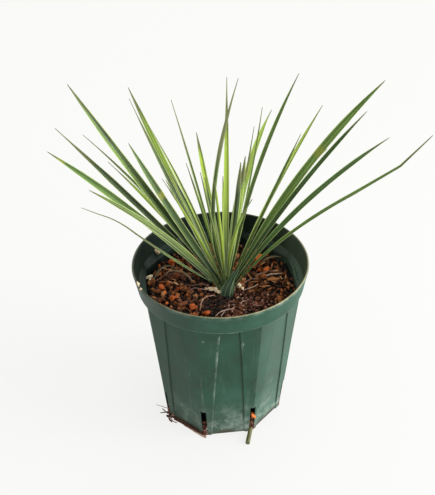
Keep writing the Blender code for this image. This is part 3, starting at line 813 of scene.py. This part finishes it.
def soilPatch(name, s, spots, lift):
    # round sheets that follow the substrate's top, for a scatter to sit on: x, y and radius
    points, faces = [], []
    steps = s["patchSteps"]
    for cx, cy, radius in spots:
        start = len(points)
        for i in range(steps + 1):
            for j in range(steps + 1):
                x, y = cx + radius * (2 * i / steps - 1), cy + radius * (2 * j / steps - 1)
                points.append(Vector((x, y, soilHeight(s, x, y) + lift)) * mm)
        for i in range(steps):
            for j in range(steps):
                if math.hypot(2 * (i + 0.5) / steps - 1, 2 * (j + 0.5) / steps - 1) < 1:
                    a = start + i * (steps + 1) + j
                    faces.append((a, a + steps + 1, a + steps + 2, a + 1))
    return newPiece(name, meshFrom(name, points, faces))


def slitSheet(name, s, rows, half):
    # leaning strips just inside the slits, where earth has washed down to the foot: heights and radii
    points = []
    for corner in range(s["corners"]):
        azimuth = s["firstCorner"] + corner * 360 / s["corners"]
        for height, radius in rows:
            for aside in (-half, half):
                spot = polar(azimuth, radius, height) + polar(azimuth + 90, aside)
                points.append((spot + Vector((*s["footShift"], 0))) * mm)
    faces = [(a, a + 1, a + 3, a + 2) for a in range(0, len(points), 4)]
    return newPiece(name, meshFrom(name, points, faces))


def grainScatter():
    # strews crushed grains over a sheet; six shapes, each grain with a tone of its own
    tree, add, given = newTree(
        "grainScatter", Spacing=0.002, Density=1e5, Seed=1, Smallest=0.001, Largest=0.002, Stretch=1.0,
        Flatness=0.8, Roughness=0.9, Cuts=0, Lying=0.0, Stuff=None)
    where, centre = add("InputPosition"), (0.5, 0.5, 0.5)
    strewn = add("DistributePointsOnFaces", {
        "Mesh": given["Geometry"], "Distance Min": given["Spacing"], "Density Max": given["Density"],
        "Seed": given["Seed"]}, distribute_method="POISSON")
    shapes = []
    for offset in (0.0, 7.3, 15.1, 22.8, 31.4, 40.2):
        moved = add("VectorMath.ADD", [where, (offset, 0, 0)])
        thrown = add("VectorMath.SUBTRACT", [add("TexWhiteNoise", {"Vector": moved}, out="Color"), centre])
        corners = add("VectorMath.SCALE", {"Vector": thrown, "Scale": given["Roughness"]})
        ball = add("SetPosition", {"Geometry": add("MeshIcoSphere", [1.0, 1]), "Offset": corners})
        broken = add("SubdivideMesh", {"Mesh": add("ConvexHull", [ball]), "Level": given["Cuts"]})
        pits = add("VectorMath.SUBTRACT", [add("TexNoise", [moved, 2.4, 1.0], out="Color"), centre])
        dents = add("VectorMath.SCALE", {"Vector": pits, "Scale": 0.5})
        rough = add("SetPosition", {"Geometry": broken, "Offset": dents})
        size = add("CombineXYZ", [given["Stretch"], 0.85, given["Flatness"]])
        squashed = add("VectorMath.MULTIPLY", [where, size])
        shaped = add("SetPosition", {"Geometry": rough, "Position": squashed})
        shapes.append(add("GeometryToInstance", [shaped]))
    kinds = add("JoinGeometry", {"Geometry": shapes})
    chosen = add("RandomValue.INT", {"Min": 0, "Max": 5, "Seed": 3})
    free = add("RandomValue.FLOAT_VECTOR", {"Max": (6.283, 6.283, 6.283), "Seed": 4})
    flat = add("RandomValue.FLOAT_VECTOR", {"Min": (-0.3, -0.3, 0), "Max": (0.3, 0.3, 6.283), "Seed": 5})
    turn = add("Mix.VECTOR", [given["Lying"], free, flat])
    skewed = add("Math.POWER", [add("RandomValue.FLOAT", {"Seed": 6}), 1.8])
    scale = add("Mix", [skewed, given["Smallest"], given["Largest"]])
    grains = add("InstanceOnPoints", {"Points": strewn, "Instance": kinds, "Pick Instance": True,
                                      "Instance Index": chosen, "Rotation": turn, "Scale": scale})
    value = {"Geometry": grains, "Name": "tone", "Value": add("RandomValue.FLOAT", {"Seed": 7})}
    real = add("RealizeInstances", [add("StoreNamedAttribute.FLOAT", value, domain="INSTANCE")])
    add("NodeGroupOutput", [add("SetMaterial", {"Geometry": real, "Material": given["Stuff"]})])
    return tree


def makeGrain(name, tones, roughness, scale, drift=0.09, detail=4, bump=(0.5, 0.0004), gloss=0.3):
    # crushed volcanic grain, bark or crumb: damp and pitted, each of its own tone
    material, add, surface = newMaterial(name)
    pits = add("TexNoise", [add("TexCoord", out="Object"), scale, detail, 0.7])
    shift = add("MapRange", [pits, 0.3, 0.7, -drift, drift])
    tone = add("Math.ADD", [add("Attribute", attribute_name="tone", out="Fac"), shift], use_clamp=True)
    surface({"Base Color": add("ValToRGB", [tone], stops=tones),
             "Roughness": add("MapRange", [pits, 0.3, 0.7, *roughness]),
             "Normal": add("Bump", {"Strength": bump[0], "Distance": bump[1], "Height": pits}),
             "Specular IOR Level": gloss})
    return material


lavaTones = [(0.0, "#190c05"), (0.25, "#40210f"), (0.5, "#683a19"), (0.74, "#8c5528"), (0.9, "#b26330"),
             (1.0, "#b48052")]
orangeTones = [(0.0, "#8a4019"), (0.5, "#bd5a20"), (1.0, "#e07a32")]
barkTones = [(0.0, "#2c160a"), (0.4, "#7e4620"), (0.75, "#b67240"), (1.0, "#d0a87c")]
crumbTones = [(0.0, "#080402"), (0.45, "#170c07"), (0.8, "#331d12"), (1.0, "#6f5240")]
rustTones = [(0.0, "#1f0d07"), (0.45, "#4f2613"), (0.8, "#7b4630"), (1.0, "#b5907a")]
shredTones = [(0.0, "#5f3a2c"), (0.5, "#a87a68"), (1.0, "#dcbcaa")]
creamTones = [(0.0, "#8a6d46"), (0.5, "#d0ae7c"), (1.0, "#f2dfba")]

makeSoilBed(soilSettings, makeGrain("dampPottingEarth", crumbTones[:3], (0.6, 0.9), 700))
grainTree = grainScatter()
lava = makeGrain("dampLavaGranule", lavaTones, (0.3, 0.6), 900)
bark = makeGrain("pineBarkSplinter", barkTones, (0.5, 0.8), 700)
crumb = makeGrain("fineDampEarth", crumbTones, (0.4, 0.8), 1500)
rust = makeGrain("rustyEarth", rustTones, (0.4, 0.8), 1500)
orangeLava = makeGrain("orangeLavaGranule", orangeTones, (0.5, 0.8), 900)
shred = makeGrain("rootShred", shredTones, (0.5, 0.8), 700)
cream = makeGrain("driedLeafBaseScrap", creamTones, (0.7, 0.9), 600)

# what is strewn: spots (x, y, radius) and height above the substrate's top in mm, then the tree's inputs
strewings = {
    "lava_granules": {"spots": ((0, 0, 50.5),), "lift": -1.2, "Stuff": lava, "Seed": 2, "Spacing": 2.4,
                      "Density": 6e5, "Smallest": 1.1, "Largest": 2.8, "Cuts": 1},
    "earth_crumbs": {"spots": ((0, 0, 50.5),), "lift": -0.9, "Stuff": crumb, "Seed": 5, "Spacing": 1.5,
                     "Density": 8e5, "Smallest": 0.4, "Largest": 1.0},
    "dark_earth": {"spots": ((-3, -26, 9), (1, -18, 7)), "lift": 1.0, "Stuff": crumb, "Seed": 9,
                   "Spacing": 0.95, "Density": 1.5e6, "Smallest": 0.45, "Largest": 1.3},
    "rusty_earth": {"spots": ((10, -28, 9), (22, -22, 10), (16, -15, 7), (29, -19, 7)), "lift": 0.9,
                    "Stuff": rust, "Seed": 11, "Spacing": 1.3, "Density": 1e6, "Smallest": 0.5,
                    "Largest": 1.5, "Flatness": 0.7},
    "bark_splinters": {"spots": ((34, 6, 13), (31, 16, 9), (-34, 10, 10)), "lift": 1.2, "Stuff": bark,
                       "Seed": 4, "Spacing": 3.2, "Density": 2e5, "Smallest": 0.6, "Largest": 1.2,
                       "Stretch": 3.6, "Flatness": 0.45, "Lying": 1.0, "Cuts": 1, "Roughness": 0.5},
    "root_shreds": {"spots": ((9, -27, 9), (19, -23, 8)), "lift": 1.5, "Stuff": shred, "Seed": 14,
                    "Spacing": 2.5, "Density": 3e5, "Smallest": 0.22, "Largest": 0.5, "Stretch": 4.2,
                    "Flatness": 0.5, "Lying": 1.0, "Roughness": 0.5},
    "orange_granules": {"spots": ((-33, 18, 11), (-30, -14, 13), (32, 18, 10), (-16, -31, 8)), "lift": 0.2,
                        "Stuff": orangeLava, "Seed": 8, "Spacing": 6.5, "Density": 4e4, "Smallest": 1.0,
                        "Largest": 2.2, "Cuts": 1, "Roughness": 1.0},
    "slit_earth": {"slits": ((1.2, 43.0), (12.5, 41.8)), "half": 1.8, "Stuff": rust, "Seed": 3,
                   "Spacing": 0.62, "Density": 4e6, "Smallest": 0.55, "Largest": 1.25, "Flatness": 0.9},
}


def strew(name, s, soil):
    if "slits" in s:
        sheet = slitSheet(name, potSettings, s["slits"], s["half"])
    else:
        sheet = soilPatch(name, soil, s["spots"], s["lift"])
    values = {key: v * mm if key in ("Spacing", "Smallest", "Largest") else v for key, v in s.items()}
    grow(sheet, grainTree, sharp=0, **values)
    # grains that would stick through the wall are taken out whole
    cleaner = openMesh(sheet.data)
    low, reach = soil["grainLow"] * mm, soil["grainReach"] * mm
    stack = [v for v in cleaner.verts if v.co.z > low and v.co.xy.length > reach]
    outside = set()
    while stack:
        v = stack.pop()
        if v not in outside:
            outside.add(v)
            stack += [edge.other_vert(v) for edge in v.link_edges]
    bmesh.ops.delete(cleaner, geom=list(outside), context="VERTS")
    closeMesh(cleaner, sheet.data)
    print(name, len(sheet.data.polygons), "faces")
    return finishPiece(sheet, "substrate")


for name, settings in strewings.items():
    strew(name, settings, soilSettings)


# Stones and bark chips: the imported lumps, roughened and broken to facets

lumpSettings = {"cuts": 3, "rough": 0.16, "facet": 0.6, "breaks": 9, "breakDepth": (0.5, 0.85), "sharp": 22}


def roughen(mesh, s, dice):
    # breaks a closed lump off along a few planes, then pushes it in and out, broadly and finely
    low, high = [Vector([pick(v.co[i] for v in mesh.verts) for i in range(3)]) for pick in (min, max)]
    size = min(high - low)
    middle, half = (low + high) / 2, (high - low) / 2
    planes = [(Vector([dice.gauss(0, 1) for _ in range(3)]).normalized(), dice.uniform(*s["breakDepth"]))
              for _ in range(s["breaks"])]
    offset = Vector([dice.uniform(0, 50) for _ in range(3)])
    for v in mesh.verts:
        place = Vector([(a - b) / c for a, b, c in zip(v.co, middle, half)])
        for facing, depth in planes:
            place -= facing * max(0, place.dot(facing) - depth)
        v.co = middle + place * half
        broad, fine = [noise.noise(v.co / size * scale + offset) for scale in (1.1, 3.2)]
        v.co += (v.co - middle).normalized() * size * s["rough"] * (broad + s["facet"] * fine)


def roughPiece(name, shaper, sharp, tones, material):
    mesh = closeMesh(shaper, bpy.data.meshes.new(name))
    smoothOver(mesh, sharp)
    markPoints(mesh, tone=tones)
    return newPiece(name, mesh, material)


def roughCopy(node, s, material, tone):
    shaper = openMesh(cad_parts[node].data, weld=True)
    bmesh.ops.subdivide_edges(shaper, edges=shaper.edges, cuts=s["cuts"], use_grid_fill=True, smooth=0.4)
    roughen(shaper, s, random.Random(node))
    return roughPiece(node + "_rough", shaper, s["sharp"], tone, material)


lumpTones = {"stone_01": 0.75, "stone_02": 0.65, "stone_03": 0.5, "stone_04": 0.35, "stone_05": 0.4,
             "stone_06": 0.55, "stone_07": 0.3, "bark_01": 0.75, "bark_02": 0.3}
for node, tone in lumpTones.items():
    material, slot = (orangeLava, "granule") if node.startswith("stone") else (bark, "bark")
    finishPiece(roughCopy(node, lumpSettings, material, tone), slot, node)


def makeLumps(name, material, lumps, s):
    # small rough lumps: middle (x, y, z), size along, across and up, azimuth of the length, tone
    dice = random.Random(name)
    whole = bmesh.new()
    tones = []
    for place, size, azimuth, tone in lumps:
        one = bmesh.new()
        bmesh.ops.create_icosphere(one, subdivisions=3, radius=0.5)
        for v in one.verts:
            v.co *= 10
        roughen(one, s, dice)
        turned = Matrix.Translation(Vector(place) * mm) @ Matrix.Rotation(math.radians(azimuth - 90), 4, "Z")
        scaled = Matrix.Diagonal((*[x * mm / 10 for x in size], 1))
        bmesh.ops.transform(one, verts=one.verts, matrix=turned @ scaled)
        mesh = closeMesh(one, bpy.data.meshes.new("lump"))
        whole.from_mesh(mesh)
        tones += [tone] * len(mesh.vertices)
    return finishPiece(roughPiece(name, whole, s["sharp"], tones, material), "substrate")


scrapSettings = {**lumpSettings, "rough": 0.34, "sharp": 30}
scraps = {
    "cream_scraps": (cream, (
        ((-6.6, -7.4, 104.5), (4.8, 3, 2.6), 80, 0.9), ((-3.4, -8.6, 104.9), (3.8, 3.2, 3), 30, 1.0),
        ((-1.8, -10.2, 104.2), (3, 2.2, 2), 120, 0.8), ((-9.6, -6.8, 104.1), (2.8, 1.7, 1.5), 60, 0.7),
        ((-10.8, 10.7, 104.4), (5, 4.4, 4), 60, 0.7), ((12.0, -4.6, 104.8), (5, 3.4, 2.8), 70, 0.95),
        ((14.5, -7.0, 104.0), (3, 2, 1.6), 20, 0.8))),
    "wall_scraps": (cream, (
        (polar(-125.6, 55.0, 108.4), (6.8, 2.8, 4.2), 40, 0.75),
        (polar(-103, 50.2, 101.8), (6, 3, 2), -60, 0.9),
        (polar(-99, 49.4, 102.6), (3.6, 2.4, 2), 10, 1.0), (polar(-68, 59.3, 122.2), (5, 2.4, 1.8), 20, 0.95),
        (polar(-62.5, 59.4, 121.8), (2.4, 1.8, 1.6), 20, 0.9))),
    "foot_crumbs": (rust, (
        ((-38.8, -22, 1.5), (3, 2.4, 2.6), 40, 0.5), ((-37, -24.2, 1.2), (2.6, 2, 2), 90, 0.3),
        ((-39.9, -20.2, 1.9), (2.4, 2, 3.2), 10, 0.2), ((-36.4, -24.2, 3.4), (1.8, 1.6, 2.2), 60, 0.9),
        ((-40.6, -22.6, 1.1), (2.2, 1.8, 1.8), 60, 0.1), ((-34.6, -26, 1.3), (2.6, 1.6, 2.2), 125, 0.4))),
    "slit_granule": (orangeLava, ((polar(28.6, 43.4, 14.6), (3.4, 3.6, 5.0), 29, 0.95),)),
}
for name, (material, lumps) in scraps.items():
    makeLumps(name, material, lumps, scrapSettings)
print("stones, bark and scraps are set")


# Roots, fibres and dry strips

def threadSweep():
    # a soft tube along drawn lines; each point knows its thickness
    tree, add, given = newTree("threadSweep", Spacing=0.0008, Sides=6, Skin=None)
    curve = evenCurve(add, given["Geometry"], "LENGTH", given["Spacing"])
    circle = add("CurvePrimitiveCircle", {"Resolution": given["Sides"], "Radius": 1.0})
    sweepOut(add, curve, circle, add("InputNamedAttribute.FLOAT", ["thick"]), given["Skin"])
    return tree


def makeThreads(name, skin, lines, slot="substrate", nodes=(), sides=6, spacing=0.7):
    # each line: a tone, its thickness at the start and end, then its points, in millimetres
    mesh = lineMesh(name, [[Vector(p) * mm for p in line[2:]] for line in lines])
    thick, tones = [], []
    for tone, ends, *points in lines:
        thick += [mixed(ends, i / (len(points) - 1)) / 2 * mm for i in range(len(points))]
        tones += [tone] * len(points)
    markPoints(mesh, thick=thick, tone=tones)
    piece = grow(newPiece(name, mesh), threadTree, Skin=skin, Sides=sides, Spacing=spacing * mm)
    return finishPiece(piece, slot, *nodes)


# dry plant fibre is duller than grain, and its tone drifts more along each thread
fibreLook = {"scale": 420, "drift": 0.2, "detail": 3, "bump": (0.4, 0.0003), "gloss": 0.5}
rootTones = [(0.0, "#2a1710"), (0.4, "#5f3a28"), (0.7, "#ab8673"), (1.0, "#dcc6b4")]
greenTones = [(0.0, "#33301a"), (0.5, "#62643a"), (1.0, "#8c8c56")]
threadTree = threadSweep()
rootlet = makeGrain("fineRootBark", rootTones, (0.6, 0.85), **fibreLook)
greenRoot = makeGrain("greenRootSkin", greenTones, (0.45, 0.7), **fibreLook)

makeThreads("soil_rootlets", rootlet, (
    (0.65, (0.9, 0.7), (-14.4, -27, 102.5), (-13.4, -23, 105.2), (-11.4, -20, 106.6), (-8.2, -18, 106.8),
     (-4.4, -15, 105)),
    (0.8, (0.5, 0.8), (-4.4, -35.6, 103.6), (-1.8, -33.4, 104.6), (0.4, -31.8, 104.8), (4.6, -30.4, 104.9)),
    (0.75, (0.5, 0.7), (-0.4, -36.2, 103.8), (1.2, -33.6, 104.7), (2.2, -31.2, 104.9)),
    (0.7, (0.8, 0.4), (4.6, -30.4, 104.9), (7.2, -30.0, 105), (8.6, -27.4, 104.6)),
    (0.8, (0.6, 0.4), (12.6, -24.6, 104.8), (14.8, -22.2, 105.2), (17.4, -21.8, 104.8)),
    (0.85, (0.6, 0.4), (14.9, -9, 104), (19, -8.4, 105), (22.5, -6, 104.6), (25, -3, 104)),
    (0.5, (0.8, 0.5), (9, -7, 104.4), (14, -5, 105.4), (20, 1, 105.4), (26, 3, 104)),
    (0.45, (0.8, 0.5), (-7, -6, 104.6), (-13, -3, 105.6), (-19, -4, 105.2), (-24, -1, 104)),
    (0.65, (0.8, 0.5), (-8, -8, 104.4), (-13, -8, 105), (-18, -6, 104.6), (-21, -8, 103.8)),
    (0.4, (0.9, 0.6), (-44, 4, 104), (-38, 8, 105.6), (-30, 8, 105.8), (-24, 5, 104)),
    (0.55, (0.8, 0.5), (24, 5, 104.4), (28, 8, 105.2), (33, 10, 105.2), (37, 11, 104.4)),
    (0.8, (1.2, 0.7), (31, 5, 105.0), (35, 6, 105.6), (39, 6.4, 105.4), (42, 7.6, 104.8))))
makeThreads("foot_rootlets", rootlet, (
    (0.3, (1.4, 0.8), (-36.5, -21, 9), (-38.6, -21.6, 6), (-40.2, -21.5, 3), (-41.5, -19, 1.2),
     (-44.5, -15, 1)),
    (0.2, (1.3, 0.7), (-36.5, -20, 6), (-39.5, -20.6, 4), (-42, -20, 2.4), (-46, -19.5, 1.4)),
    (0.65, (0.7, 0.4), (-37, -20, 8), (-40, -19.6, 6), (-44, -17, 5), (-49, -15, 5.4)),
    (0.6, (0.8, 0.4), (-36, -22, 4), (-37.6, -25, 4), (-37, -27, 6), (-36, -27.6, 9)),
    (0.75, (1.2, 0.8), (-38, -21, 2), (-38.5, -24, 1.2), (-37, -27.5, 0.8), (-34, -29.5, 0.8)),
    (0.15, (1.6, 1.0), (-36, -21, 3), (-39, -23, 2), (-39.5, -25.5, 1), (-37.6, -28.4, 0.8)),
    (0.15, (2.2, 2.2), (-38, -22.6, 1.3), (-32, -26.9, 1.3), (-26, -31.8, 1.3), (-20, -36.8, 1.3),
     (-14.6, -42, 1.3)),
    (0.35, (1.2, 1.6), (-36, -25.5, 0.8), (-30, -30.1, 0.8), (-24, -35.1, 0.8), (-18, -40, 0.8),
     (-13.4, -43.8, 0.8)),
    (0.75, (0.5, 1.6), (-29, -32, 0.6), (-25, -35.4, 0.8), (-20.6, -39.4, 0.9), (-16.4, -42.8, 0.9),
     (-13, -45, 0.9))))
makeThreads("green_root", greenRoot, (
    (0.5, (3.0, 3.2), (18.6, -38.6, 2.4), (17.9, -42, 2.2), (17.1, -46, 1.9), (16.4, -49.4, 1.75),
     (15.9, -52.2, 1.7)),), "root", ("root_stub",), sides=12, spacing=0.5)

dryColours = {**leafColours, "dry": "#7b6a48", "dryTip": "#5d4c34", "blueGreen": "#625a3b",
              "yellowGreen": "#806b44", "basalAndShade": "#5f4d33", "margin": "#94835f", "midline": "#93805a",
              "fibre": "#3f3220"}
drySkin = makeLeafSkin("driedLeafStrip", dryColours)
# width, then waypoints x, y and height above the substrate, as packed, then tones
strips = {
    "dry_leaf_02": (1.6, ((-46, 6, 1.5), (-42, 15, 3), (-36, 19, 3), (-30, 17, 1.5)),
                    (0.1, -0.3, 0.3, 0.2, 0.1, 0)),
    "dry_leaf_03": (1.6, ((-40, 7, 2), (-35, 11, 4), (-27, 10, 4), (-22, 6, 3), (-19, 1, 1.5)),
                    (0.6, 0.3, 0.3, 0.4, 0.1, 0)),
    "dry_leaf_04": (2.0, ((28, 22, 1.5), (33, 25, 3), (38, 27, 3), (43, 27, 2)),
                    (0.0, 0.1, 0.2, 0.1, 0.1, 0)),
}
stripSettings = {"lift": 0.5, "half": 0.5, "endHalf": 0.2}    # millimetres up; shares of the width


def makeStrip(node, width, waypoints, tones, s):
    spots = [Vector((x, y, soilHeight(soilSettings, x, y) + z + s["lift"])) * mm for x, y, z in waypoints]
    last = len(spots) - 1
    stations = []
    for i, spot in enumerate(spots):
        heading = (spots[min(i + 1, last)] - spots[max(i - 1, 0)]).normalized()
        half = width * mm * s["endHalf" if i in (0, last) else "half"]
        stations.append({"middle": spot, "level": heading.cross(up).normalized(), "half": half})
    strip = sweepBlade(node + "_strip", stations, drySkin, tones, Rings=30, ProfilePoints=10)
    return finishPiece(strip, "dry_leaf", node)


for node, row in strips.items():
    makeStrip(node, *row, stripSettings)
stations = bladeStations("dry_leaf_01", bladeShape)
dried = sweepBlade("dry_leaf_01_blade", stations, drySkin, (0.5, 0.1, 0.3, 0.2, 0.2, 0))
finishPiece(dried, "dry_leaf", "dry_leaf_01")
print("roots and strips are set")
